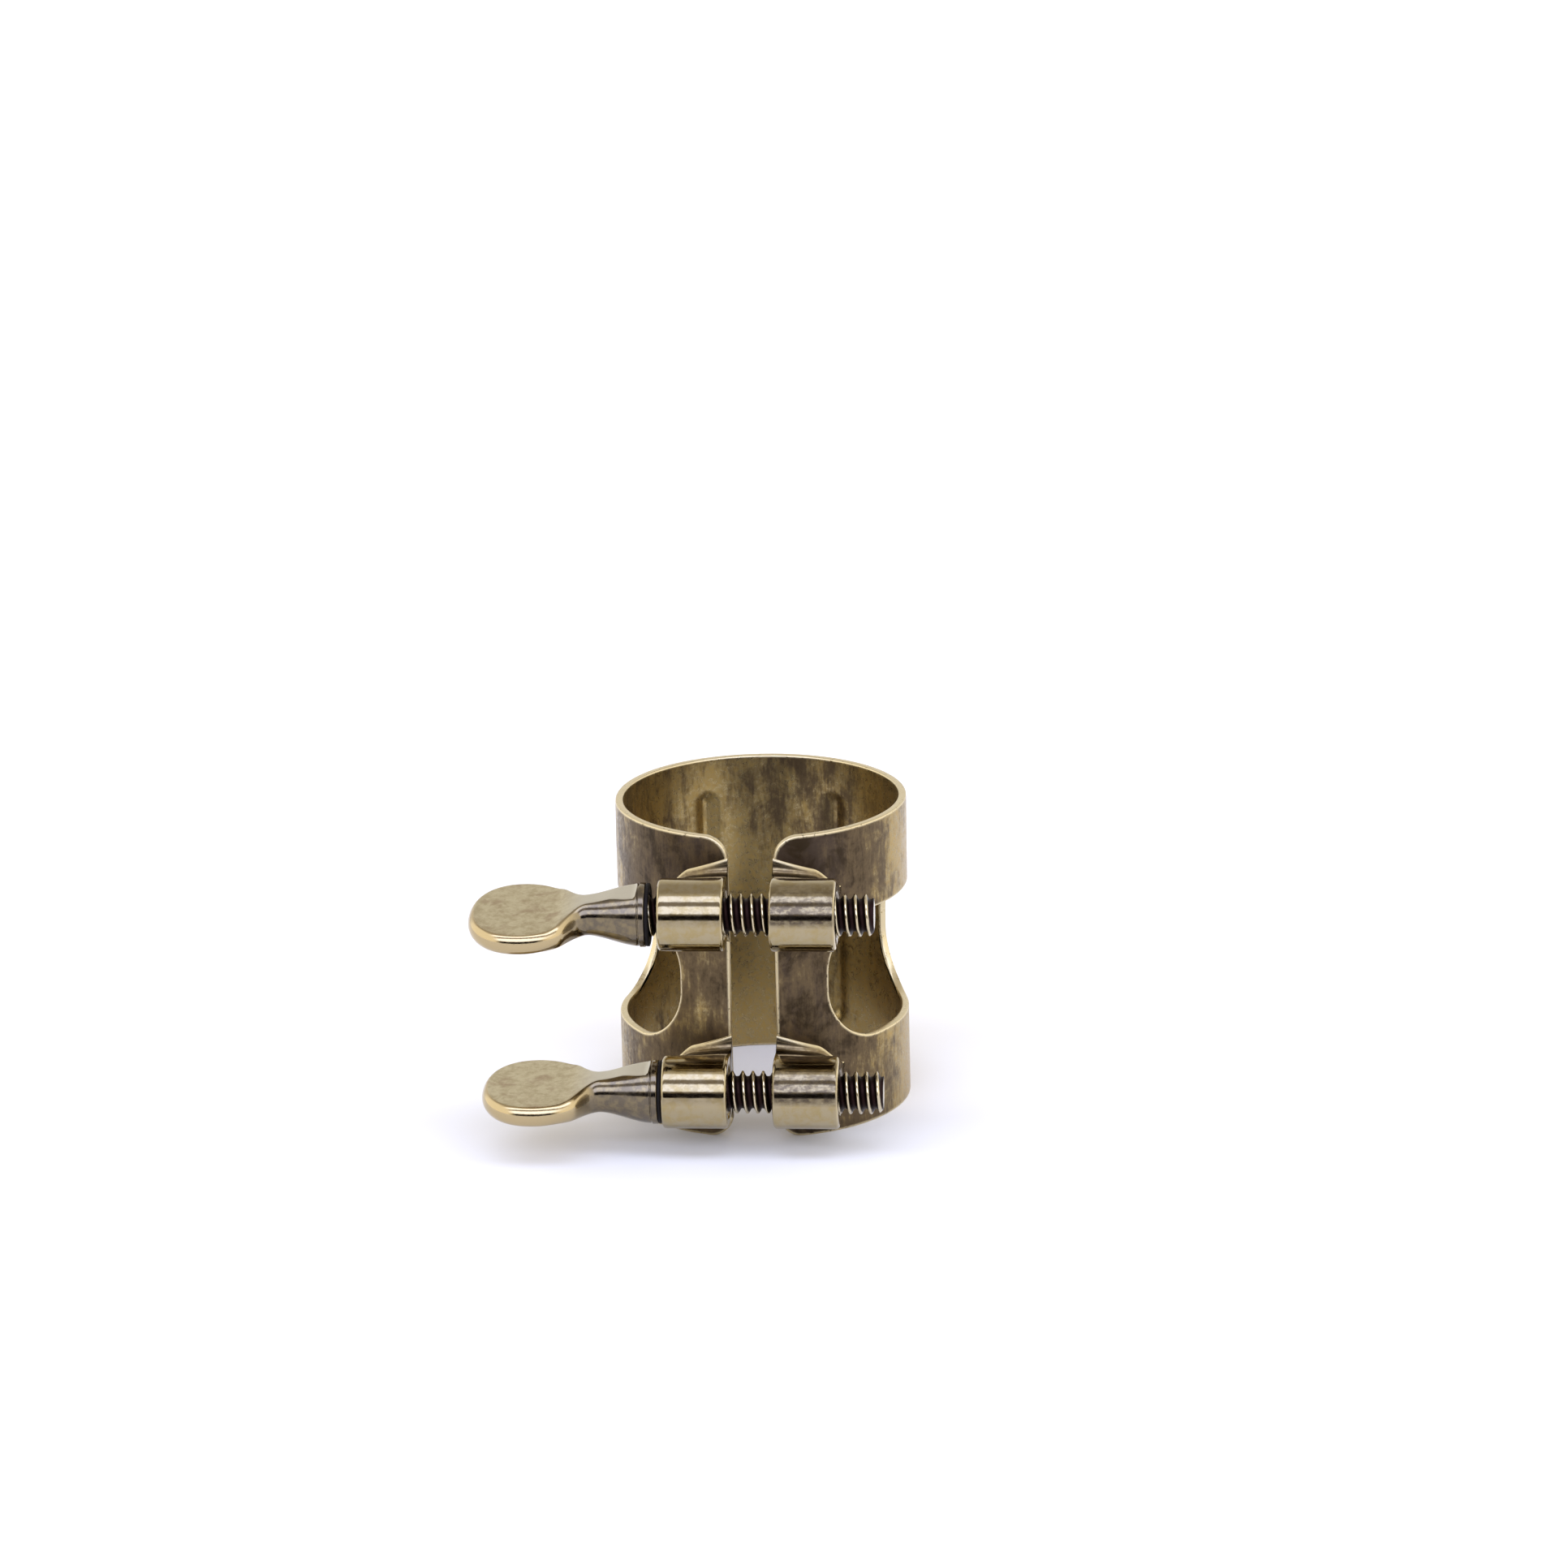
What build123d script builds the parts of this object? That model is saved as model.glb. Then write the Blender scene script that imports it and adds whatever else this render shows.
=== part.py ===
from build123d import *
from build123d.topology import SkipClean

import os
from math import cos, degrees, radians, sin

# Two-screw metal ligature for a tenor saxophone mouthpiece.
#
# Frame: millimetres, +Z up along the bore of the band, origin on the bore axis at the
# band's lower edge. The gap and the two thumbscrews are on the -Y side, with the screws
# along X and their paddles at -X. The reed lies inside the band on the +Y side.

# ---- driving dimensions ----------------------------------------------------------------
# Band: one sheet-metal stamping, rolled into a split ring.
band_outer_radius = 10.3
sheet_thickness = 0.55
band_height = 22.1
gap_half_width = 1.58
gap_corner_radius = 1.7

# Side windows, angles measured round the band from the gap.
window_bottom = 6.45
window_top = 15.75
window_front_angle = 30.6
window_rear_angle = 125.0
window_corner_radius = 4.1

# Ribs pressed outwards at the reed's two edges, angle measured from the reed's middle.
rib_angle = 28.0
rib_radius = 1.0
rib_rise = 0.35
rib_end_margin = 2.2

# Posts: round barrels with a flared foot brazed to the band.
screw_axis_y = -13.5
screw_axis_heights = {"upper": 17.55, "lower": 4.55}
barrel_radius = 2.55
barrel_length = 4.6
barrel_edge_radius = 0.22
# A foot starts inside the barrel, narrows to its waist and widens to a root inside the band.
# Distances are from the screw's axis towards the band; rise and waist are half heights.
foot_start = 0.3
foot_waist_distance = 1.9
foot_root_at_gap = 4.2
foot_root_at_end = 6.4
foot_rise_at_gap = 3.1
foot_rise_at_end = 1.3
foot_waist_at_gap = 2.5
foot_waist_at_end = 1.0
foot_start_share = 0.9

# Screws.
thread_major_radius = 1.5
thread_depth = 0.38
thread_pitch = 0.72
thread_crest_width = 0.12
thread_root_width = 0.56
thread_embed = 0.05
thread_margin = 0.01
thread_spare_turns = 3
tapped_bore_clearance = 0.07
plain_bore_clearance = 0.34
rod_shank_radius = 1.15
rod_end_chamfer = 0.3
rod_overhangs = {"upper": 2.6, "lower": 3.05}
head_gaps = {"upper": 0.6, "lower": 0.03}

washer_thickness = 0.26
washer_radius = 2.2

# Thumb pieces: rim, cone, neck and paddle in one forging.
rim_radius = 2.24
rim_land = 0.33
neck_radius = 1.42
cone_length = 4.1
head_length = 12.4
socket_depth = 3.2
paddle_width = 8.8
paddle_thickness = 1.5
paddle_edge_radius = 0.6
# Each paddle leans forward by its own tilt, and sits a little below its screw's axis.
paddle_tilts = {"upper": 8.7, "lower": 5.3}
paddle_drops = {"upper": 0.34, "lower": 0.14}
neck_web_length = 3.4
neck_web_width = 5.6
neck_inset = 0.05
neck_overlap = 0.5

# ---- derived sizes ---------------------------------------------------------------------
band_inner_radius = band_outer_radius - sheet_thickness
window_height = window_top - window_bottom
window_middle = (window_top + window_bottom) / 2
corner_angle = degrees(window_corner_radius / band_inner_radius)
post_end = gap_half_width + barrel_length
thread_root_radius = thread_major_radius - thread_depth
paddle_length = head_length - cone_length - rim_land
cutter_reach = 2 * band_outer_radius
rib_center_radius = band_outer_radius + rib_rise - rib_radius
rib_ends = (rib_end_margin + rib_radius, band_height - rib_end_margin - rib_radius)
# The bore's wall is three faces: a ring above and below the windows, and what is left between.
bore_levels = (0, window_bottom, window_top, band_height)

os.makedirs("parts", exist_ok=True)


def around_band(angle, radius):
    """Point in plan at an angle from the gap, positive towards +X."""
    return (radius * sin(radians(angle)), -radius * cos(radians(angle)))


def along_screw(x, height):
    """Plane across a screw's axis at x, with its normal along +X."""
    return Plane(origin=(x, screw_axis_y, height), x_dir=(0, 1, 0), z_dir=(1, 0, 0))


# ---- band ------------------------------------------------------------------------------
with BuildPart() as band:
    with BuildSketch():
        Circle(band_outer_radius)
    extrude(amount=band_height)
    # The two ribs stand proud of the reed plate and have round ends. Inside, each is a
    # groove, so that the sheet keeps its thickness.
    for radius, mode in ((rib_radius, Mode.ADD), (rib_radius - sheet_thickness, Mode.SUBTRACT)):
        for side in (-1, 1):
            rib_middle = around_band(180 + side * rib_angle, rib_center_radius)
            with BuildSketch(Plane.XY.offset(rib_ends[0])):
                with Locations(rib_middle):
                    Circle(radius)
            extrude(amount=rib_ends[1] - rib_ends[0], mode=mode)
            for height in rib_ends:
                with Locations((*rib_middle, height)):
                    Sphere(radius, mode=mode)
    # The gap, and its four rounded corners.
    with BuildSketch():
        with Locations((0, -band_outer_radius)):
            Rectangle(2 * gap_half_width, band_outer_radius)
    extrude(amount=band_height, mode=Mode.SUBTRACT)
    corner_edges = (
        band.edges()
        .filter_by(Axis.Y)
        .filter_by(lambda edge: edge.center().Y < 0 and abs(edge.center().X) < 2 * gap_half_width)
    )
    fillet(corner_edges, gap_corner_radius)
    # The windows: a sector of the ring, and a slot through the wall at each of its ends.
    for side in (-1, 1):
        front = window_front_angle + corner_angle
        rear = window_rear_angle - corner_angle
        middle = (front + rear) / 2
        with BuildSketch(Plane.XY.offset(window_bottom)):
            with BuildLine():
                Polyline(
                    (0, 0),
                    around_band(side * front, cutter_reach),
                    around_band(side * middle, cutter_reach),
                    around_band(side * rear, cutter_reach),
                    close=True,
                )
            make_face()
        extrude(amount=window_height, mode=Mode.SUBTRACT)
        for angle in (front, rear):
            outward = (*around_band(side * angle, 1), 0)
            with BuildSketch(Plane(origin=(0, 0, window_middle), x_dir=(0, 0, 1), z_dir=outward)):
                SlotOverall(window_height, 2 * window_corner_radius)
            extrude(amount=cutter_reach, mode=Mode.SUBTRACT)
    # The bore comes last and isn't cleaned, so that its three walls stay separate faces.
    with SkipClean():
        for bottom, top in zip(bore_levels, bore_levels[1:]):
            with BuildSketch(Plane.XY.offset(bottom)):
                Circle(band_inner_radius)
            extrude(amount=top - bottom, mode=Mode.SUBTRACT, clean=False)
band.part.label = "band"
export_step(band.part, "parts/band.step")

# ---- posts -----------------------------------------------------------------------------
post_bores = {
    "left": thread_major_radius + plain_bore_clearance,
    "right": thread_major_radius + tapped_bore_clearance,
}
for level, height in screw_axis_heights.items():
    for side_name, side in (("left", -1), ("right", 1)):
        with BuildPart() as post:
            with BuildSketch(along_screw(side * gap_half_width, height)):
                Circle(barrel_radius)
            extrude(amount=side * barrel_length)
            fillet(post.edges().filter_by(GeomType.CIRCLE), barrel_edge_radius)
            # The foot flares towards the gap, where the barrel is closest to the band.
            for x, root, rise, waist in (
                (gap_half_width, foot_root_at_gap, foot_rise_at_gap, foot_waist_at_gap),
                (post_end, foot_root_at_end, foot_rise_at_end, foot_waist_at_end),
            ):
                start_rise = waist * foot_start_share
                with BuildSketch(along_screw(side * x, height)):
                    with BuildLine():
                        ThreePointArc(
                            (root, rise),
                            (foot_waist_distance, waist),
                            (foot_start, start_rise),
                        )
                        Line((foot_start, start_rise), (foot_start, -start_rise))
                        ThreePointArc(
                            (foot_start, -start_rise),
                            (foot_waist_distance, -waist),
                            (root, -rise),
                        )
                        Line((root, -rise), (root, rise))
                    make_face()
            loft()
            with BuildSketch():
                Circle(band_outer_radius)
            extrude(amount=band_height + foot_rise_at_gap, mode=Mode.SUBTRACT)
            with BuildSketch(along_screw(0, height)):
                Circle(post_bores[side_name])
            extrude(amount=side * cutter_reach, mode=Mode.SUBTRACT)
        post_name = f"{level}_{side_name}_post"
        post.part.label = post_name
        export_step(post.part, f"parts/{post_name}.step")

# ---- screws ----------------------------------------------------------------------------
for level, height in screw_axis_heights.items():
    washer_face = -post_end - head_gaps[level]
    rim_face = washer_face - washer_thickness
    rod_tip = post_end + rod_overhangs[level]

    with BuildPart() as washer:
        with BuildSketch(along_screw(rim_face, height)):
            Circle(washer_radius)
            Circle(thread_major_radius + tapped_bore_clearance, mode=Mode.SUBTRACT)
        extrude(amount=washer_thickness)
    washer.part.label = f"{level}_washer"
    export_step(washer.part, f"parts/{level}_washer.step")

    with BuildPart() as rod:
        with BuildSketch(along_screw(rim_face, height)):
            Circle(thread_root_radius)
        extrude(amount=rod_tip - rim_face + thread_spare_turns * thread_pitch)
        thread_start = rim_face + thread_root_width
        with BuildLine():
            thread_path = Helix(
                pitch=thread_pitch,
                height=rod_tip - thread_start + thread_pitch,
                radius=thread_root_radius,
                center=(thread_start, screw_axis_y, height),
                direction=(1, 0, 0),
            )
        path_start = thread_path @ 0
        outward = path_start - Vector(thread_start, screw_axis_y, height)
        with BuildSketch(Plane(origin=path_start, x_dir=outward, z_dir=thread_path % 0)):
            with BuildLine():
                Polyline(
                    (-thread_embed, thread_root_width / 2),
                    (thread_depth, thread_crest_width / 2),
                    (thread_depth, -thread_crest_width / 2),
                    (-thread_embed, -thread_root_width / 2),
                    close=True,
                )
            make_face()
        sweep(path=thread_path, is_frenet=True)
        # One cut gives the tip its chamfer and ends the thread there.
        with BuildSketch(Plane.XY.offset(height)):
            with BuildLine():
                Polyline(
                    (rim_face, screw_axis_y),
                    (rim_face, screw_axis_y + barrel_radius),
                    (rod_tip - rod_end_chamfer, screw_axis_y + thread_major_radius + thread_margin),
                    (rod_tip, screw_axis_y + thread_major_radius - rod_end_chamfer),
                    (rod_tip, screw_axis_y),
                    close=True,
                )
            make_face()
        revolve(axis=Axis((0, screw_axis_y, height), (1, 0, 0)), mode=Mode.INTERSECT)
        with BuildSketch(along_screw(rim_face - socket_depth, height)):
            Circle(rod_shank_radius)
        extrude(amount=socket_depth)
    rod.part.label = f"{level}_threaded_rod"
    export_step(rod.part, f"parts/{level}_threaded_rod.step")

    with BuildPart() as thumb_piece:
        # The paddle, tilted about its length so that its top faces forward.
        neck_x = rim_face - rim_land - cone_length
        tilt = radians(paddle_tilts[level])
        paddle_height = height - paddle_drops[level]
        tilted = Plane(
            origin=(neck_x - paddle_length / 2, screw_axis_y, paddle_height),
            x_dir=(1, 0, 0),
            z_dir=(0, -sin(tilt), cos(tilt)),
        )
        with BuildSketch(tilted):
            Ellipse(paddle_length / 2, paddle_width / 2)
        extrude(amount=paddle_thickness / 2, both=True)
        fillet(thumb_piece.edges().filter_by(GeomType.LINE, reverse=True), paddle_edge_radius)
        # The neck runs from well inside the cone to well inside the paddle.
        web_plane = Plane(
            origin=(neck_x - neck_web_length, screw_axis_y, paddle_height),
            x_dir=(0, cos(tilt), sin(tilt)),
            z_dir=(1, 0, 0),
        )
        with BuildSketch(web_plane):
            Ellipse(neck_web_width / 2, paddle_thickness / 2 - neck_inset)
        with BuildSketch(along_screw(neck_x + neck_overlap, height)):
            Circle(neck_radius)
        loft()
        with BuildSketch(Plane.XY.offset(height)):
            with BuildLine():
                Polyline(
                    (neck_x, screw_axis_y),
                    (neck_x, screw_axis_y + neck_radius),
                    (rim_face - rim_land, screw_axis_y + rim_radius),
                    (rim_face, screw_axis_y + rim_radius),
                    (rim_face, screw_axis_y),
                    close=True,
                )
            make_face()
        revolve(axis=Axis((0, screw_axis_y, height), (1, 0, 0)))
        with BuildSketch(along_screw(rim_face - socket_depth, height)):
            Circle(rod_shank_radius)
        extrude(amount=socket_depth, mode=Mode.SUBTRACT)
    thumb_piece.part.label = f"{level}_thumb_piece"
    export_step(thumb_piece.part, f"parts/{level}_thumb_piece.step")
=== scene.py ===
"""Looks of the two-screw saxophone ligature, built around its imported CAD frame."""
import math

import bmesh
import bpy
from mathutils import Matrix, Vector
from mathutils.geometry import delaunay_2d_cdt


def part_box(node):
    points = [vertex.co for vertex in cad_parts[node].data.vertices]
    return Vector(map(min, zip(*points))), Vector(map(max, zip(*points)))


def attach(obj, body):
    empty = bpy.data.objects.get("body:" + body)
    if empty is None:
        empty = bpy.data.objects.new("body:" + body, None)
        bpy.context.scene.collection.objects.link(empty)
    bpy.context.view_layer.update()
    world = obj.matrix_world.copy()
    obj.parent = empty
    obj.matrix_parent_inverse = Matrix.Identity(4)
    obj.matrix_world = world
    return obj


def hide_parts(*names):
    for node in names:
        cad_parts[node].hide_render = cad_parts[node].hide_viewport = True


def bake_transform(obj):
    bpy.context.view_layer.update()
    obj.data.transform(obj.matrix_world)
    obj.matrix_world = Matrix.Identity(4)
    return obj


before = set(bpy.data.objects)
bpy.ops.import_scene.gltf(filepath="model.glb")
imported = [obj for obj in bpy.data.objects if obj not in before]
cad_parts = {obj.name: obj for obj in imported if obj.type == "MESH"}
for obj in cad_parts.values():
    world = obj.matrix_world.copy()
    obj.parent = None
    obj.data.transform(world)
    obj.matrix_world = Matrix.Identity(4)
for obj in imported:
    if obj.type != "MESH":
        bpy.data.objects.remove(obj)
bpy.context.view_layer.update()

MM = 0.001
LEVELS = ("upper", "lower")
SIDES = {"left": -1, "right": 1}


def box_mm(node):
    """Lowest and highest corner of a CAD node, in millimetres."""
    low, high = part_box(node)
    return Vector(low) / MM, Vector(high) / MM


# ---- sizes in millimetres, from the frame where it holds them ---------------------------
BAND_LOW, BAND_HIGH = box_mm("band")
BAND_RADIUS = BAND_HIGH.x
BAND_HEIGHT = BAND_HIGH.z - BAND_LOW.z
SHEET = 0.55
MID_RADIUS = BAND_RADIUS - SHEET / 2
POST_LOW, POST_HIGH = box_mm("upper_right_post")
GAP_HALF = POST_LOW.x
POST_LENGTH = POST_HIGH.x - POST_LOW.x
ROD_LOW, ROD_HIGH = box_mm("upper_threaded_rod")
AXIS_Y = (ROD_LOW.y + ROD_HIGH.y) / 2
THREAD_RADIUS = (ROD_HIGH.y - ROD_LOW.y) / 2
BARREL_RADIUS = AXIS_Y - POST_LOW.y
THREAD_PITCH = 0.72
THREAD_DEPTH = 0.38

# Angles round the band are measured from the gap for the windows and from the reed side for the ribs.
CORNER_RADIUS = 1.7
WINDOW_Z = (6.45, 15.75)
WINDOW_ANGLES = (math.radians(30.6), math.radians(125.0))
WINDOW_CORNER = 4.1
RIB_ANGLE = math.radians(28.0)
RIB_RISE = 0.35
RIB_WIDTH = 0.55
RIB_MARGIN = 2.2
RIB_RUNOUT = 1.1


def axis_z(level):
    """Height of a screw's axis."""
    low, high = box_mm(f"{level}_threaded_rod")
    return (low.z + high.z) / 2


# ---- small mathematics -----------------------------------------------------------------
def lerp(a, b, t):
    return a + (b - a) * t


def smooth(t):
    """Smoothstep of t, held between 0 and 1."""
    t = min(max(t, 0.0), 1.0)
    return t * t * (3 - 2 * t)


def bezier(p0, p1, p2, p3, t):
    u = 1 - t
    return p0 * u ** 3 + p1 * (3 * u * u * t) + p2 * (3 * u * t * t) + p3 * t ** 3


# ---- mesh helpers ----------------------------------------------------------------------
def add_piece(name, points, faces, body, node, material, slot, **numbers):
    """A smooth-shaded mesh from points in millimetres, riding on a body in place of a CAD node.

    Each of numbers is a list with one number per point, which materials read by its name.
    """
    mesh = bpy.data.meshes.new(name)
    mesh.from_pydata([Vector(p) * MM for p in points], [], faces)
    for title, values in numbers.items():
        layer = mesh.attributes.new(title, "FLOAT", "POINT")
        layer.data.foreach_set("value", values)
    piece = bpy.data.objects.new(name, mesh)
    bpy.context.scene.collection.objects.link(piece)
    merge_doubles(mesh)
    mesh.shade_smooth()
    mesh.materials.append(material)
    if body is not None:
        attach(piece, body)
    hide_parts(node)
    return piece


def merge_doubles(mesh):
    """Joins points that coincide, drops the faces that this empties and turns the rest outwards."""
    work = bmesh.new()
    work.from_mesh(mesh)
    bmesh.ops.remove_doubles(work, verts=work.verts, dist=0.0008 * MM)
    bmesh.ops.dissolve_degenerate(work, dist=0.0005 * MM, edges=work.edges)
    bmesh.ops.recalc_face_normals(work, faces=work.faces)
    work.to_mesh(mesh)
    work.free()


def ring_faces(first, second, size):
    """Quads between two closed rings of points, given the number of the first point in each."""
    pairs = [(j, (j + 1) % size) for j in range(size)]
    return [(first + j, first + k, second + k, second + j) for j, k in pairs]


def loft_faces(ring_count, ring_size, base=0):
    """Quads between neighbouring rings of points that follow each other from point number base on."""
    faces = []
    for i in range(ring_count - 1):
        faces += ring_faces(base + i * ring_size, base + (i + 1) * ring_size, ring_size)
    return faces


def lathe(profile, center, steps=96):
    """Points and faces of a closed profile of (along, radius) pairs turned about a line along X."""
    points = []
    for i in range(steps):
        angle = 2 * math.pi * i / steps
        for along, radius in profile:
            points.append((along, center.y + radius * math.cos(angle), center.z + radius * math.sin(angle)))
    size = len(profile)
    faces = []
    for i in range(steps):
        faces += ring_faces(i * size, (i + 1) % steps * size, size)
    return points, faces


# ---- band ------------------------------------------------------------------------------
def rounded_outline(low, high, radius, inset, step):
    """Closed outline of a rounded rectangle as (point, outward normal) pairs, moved inwards by inset."""
    outline = []
    corners = (
        (high[0] - radius, high[1] - radius, 0),
        (low[0] + radius, high[1] - radius, 90),
        (low[0] + radius, low[1] + radius, 180),
        (high[0] - radius, low[1] + radius, 270),
    )
    turns = max(6, round(radius * math.pi / 2 / (step * 0.7)))
    reach = radius - inset
    for index, (x, y, start) in enumerate(corners):
        for i in range(turns + 1):
            angle = math.radians(start + 90 * i / turns)
            normal = Vector((math.cos(angle), math.sin(angle)))
            outline.append((Vector((x, y)) + normal * reach, normal))
        # The straight side that leads to the next corner.
        last = outline[-1][0]
        x, y, start = corners[(index + 1) % 4]
        normal = Vector((math.cos(math.radians(start)), math.sin(math.radians(start))))
        first = Vector((x, y)) + normal * reach
        count = max(1, round((first - last).length / step))
        for i in range(1, count):
            outline.append((last.lerp(first, i / count), normal))
    return outline


def rib_height(u, v):
    """How far the two upright ribs at the reed's edges stand out at a place on the sheet."""
    across = (abs(u) - RIB_ANGLE * MID_RADIUS) / RIB_WIDTH
    if abs(across) > 3:
        return 0.0
    above, below = v - RIB_MARGIN, BAND_HEIGHT - RIB_MARGIN - v
    return RIB_RISE * math.exp(-across * across) * smooth(above / RIB_RUNOUT) * smooth(below / RIB_RUNOUT)


def bend_sheet(u, v, out):
    """Place on the rolled band of a point u along the sheet from the reed side, v up and out outwards.

    Two slow waves leave the worn sheet a little uneven.
    """
    angle = u / MID_RADIUS
    ripple = 0.018 * math.sin(3.1 * angle + 0.7 + 0.16 * v) + 0.012 * math.sin(0.55 * v + 5.3 * angle)
    radius = MID_RADIUS + out + rib_height(u, v) + ripple
    return (radius * math.sin(angle), radius * math.cos(angle), v)


def build_band(material):
    """The split band: a sheet with two windows and worn round edges, rolled to a ring."""
    edge, lip, step = 0.13, 0.16, 0.3
    border = edge + lip
    half_length = MID_RADIUS * (math.pi - math.asin(GAP_HALF / MID_RADIUS))
    front = MID_RADIUS * (math.pi - WINDOW_ANGLES[0])
    rear = MID_RADIUS * (math.pi - WINDOW_ANGLES[1])
    shapes = [
        ((-half_length, 0.0), (half_length, BAND_HEIGHT), CORNER_RADIUS, 1),
        ((rear, WINDOW_Z[0]), (front, WINDOW_Z[1]), WINDOW_CORNER, -1),
        ((-front, WINDOW_Z[0]), (-rear, WINDOW_Z[1]), WINDOW_CORNER, -1),
    ]
    # The flat part of the sheet is filled with triangles, between outlines kept clear of the edges.
    flat, loops = [], []
    for low, high, radius, sense in shapes:
        outline = rounded_outline(low, high, radius, sense * border, step)
        loops.append(list(range(len(flat), len(flat) + len(outline))))
        flat += [point for point, normal in outline]
    columns = round(2 * half_length / step)
    rows = round(BAND_HEIGHT / step)
    for i in range(1, columns):
        for j in range(1, rows):
            place = Vector((-half_length + 2 * half_length * i / columns, BAND_HEIGHT * j / rows))
            if inside_sheet(place, shapes, border + 0.5 * step):
                flat.append(place)
    edges = [(loop[i], loop[(i + 1) % len(loop)]) for loop in loops for i in range(len(loop))]
    filled, _, triangles, *_ = delaunay_2d_cdt(flat, edges, [], 0, 1e-6)
    middles = [sum((filled[i] for i in t), Vector((0, 0))) / len(t) for t in triangles]
    triangles = [t for t, middle in zip(triangles, middles) if inside_sheet(middle, shapes)]

    points, faces, wear = [], [], []
    outer, inner = SHEET / 2, -SHEET / 2
    for out in (outer, inner):
        base = len(points)
        points += [bend_sheet(p.x, p.y, out) for p in filled]
        wear += [0.0] * len(filled)
        faces += [tuple(base + i for i in t) for t in triangles]
    # The edges: a narrow lip on each face, and a rounded rim between them.
    profile = [(border, outer, 0.0), (edge, outer, 0.55)]
    arc_steps = 4
    for i in range(1, arc_steps + 1):
        turn = math.pi / 2 * i / arc_steps
        profile.append((edge * (1 - math.sin(turn)), outer - edge * (1 - math.cos(turn)), 1.0))
    profile += [(inset, -out, value) for inset, out, value in reversed(profile)]
    for low, high, radius, sense in shapes:
        base = len(points)
        outline = rounded_outline(low, high, radius, sense * border, step)
        for inset, out, value in profile:
            for place, normal in outline:
                moved = place + normal * sense * (border - inset)
                points.append(bend_sheet(moved.x, moved.y, out))
                wear.append(value)
        faces += loft_faces(len(profile), len(outline), base)
    piece = add_piece("split_band", points, faces, None, "band", material, "band_brass", wear=wear)
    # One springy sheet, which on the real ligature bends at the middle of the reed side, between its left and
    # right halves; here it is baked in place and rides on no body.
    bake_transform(piece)


def outline_distance(place, low, high, radius):
    """Signed distance from a rounded rectangle, negative inside it."""
    half = (Vector(high) - Vector(low)) / 2
    from_middle = place - (Vector(high) + Vector(low)) / 2
    dx = abs(from_middle.x) - half.x + radius
    dy = abs(from_middle.y) - half.y + radius
    return math.hypot(max(dx, 0), max(dy, 0)) + min(max(dx, dy), 0) - radius


def inside_sheet(place, shapes, margin=0.0):
    """Whether a place is on the sheet, outside its windows, and further than margin from every edge."""
    distances = (-sense * outline_distance(place, low, high, radius) for low, high, radius, sense in shapes)
    return all(distance > margin for distance in distances)


# ---- posts -----------------------------------------------------------------------------
# The angles at which a foot leaves its barrel are in degrees from the barrel's front, over its top.
POST_EDGE = 0.26
LEFT_BORE = THREAD_RADIUS + 0.34
RIGHT_BORE = THREAD_RADIUS + 0.06
FOOT_RISE = 3.05
FOOT_FALL = 1.75
FOOT_TUCK = 0.9
LEAVE_AT_GAP, LEAVE_AT_END = 88, 122


def wall_distance(along):
    """How far the band's skin lies behind the screw's axis, at a distance from the gap face."""
    return -math.sqrt(BAND_RADIUS ** 2 - (GAP_HALF + along) ** 2) - AXIS_Y


def foot_rise(along):
    """Half height of a foot's toe, which is tallest at the gap and slips behind the barrel further out."""
    t = along / POST_LENGTH
    return FOOT_RISE - FOOT_FALL * t - FOOT_TUCK * smooth((t - 0.6) / 0.4)


def post_section(along):
    """Section of a post at a distance from its gap face, as points (towards the band, up) from the axis.

    It runs from the front of the barrel over its top, down the fillet to the foot's toe on
    the band, and back underneath.
    """
    t = along / POST_LENGTH
    wall, rise = wall_distance(along), foot_rise(along)
    leave = math.radians(lerp(LEAVE_AT_GAP, LEAVE_AT_END, smooth(t)))
    arc_steps, fillet_steps, back_steps = 22, 18, 4
    half = []
    for i in range(arc_steps + 1):
        turn = leave * i / arc_steps
        half.append(Vector((-BARREL_RADIUS * math.cos(turn), BARREL_RADIUS * math.sin(turn))))
    start, heading = half[-1], Vector((math.sin(leave), math.cos(leave)))
    toe = Vector((wall - 0.10, rise - 0.06))
    reach = (toe - start).length
    # The fillet leaves the barrel along its skin, runs out along the band and ends in a small lip.
    pull = start + heading * lerp(0.62, 0.5, t) * reach
    landing = toe - Vector((0.10, 0.62 * rise * (1 - 0.45 * t)))
    for i in range(1, fillet_steps + 1):
        half.append(bezier(start, pull, landing, toe, i / fillet_steps))
    half += [Vector((wall - 0.03, rise + 0.03)), Vector((wall + 0.06, rise + 0.05))]
    for i in range(back_steps + 1):
        half.append(Vector((wall + 0.2, rise * (1 - i / back_steps))))
    return half + [Vector((p.x, -p.y)) for p in reversed(half[1:-1])]


def barrel_share(place):
    """1 on the front of the barrel, fading to 0 where the foot begins."""
    return 1 - smooth((place.x - 0.6) / 1.6)


def inset_section(section, distance):
    """The same section with its barrel moved inwards, and its foot left flush."""
    moved = []
    count = len(section)
    for i in range(count):
        run = section[(i + 1) % count] - section[i - 1]
        normal = Vector((run.y, -run.x)).normalized()
        moved.append(section[i] + normal * distance * barrel_share(section[i]))
    return moved


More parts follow.
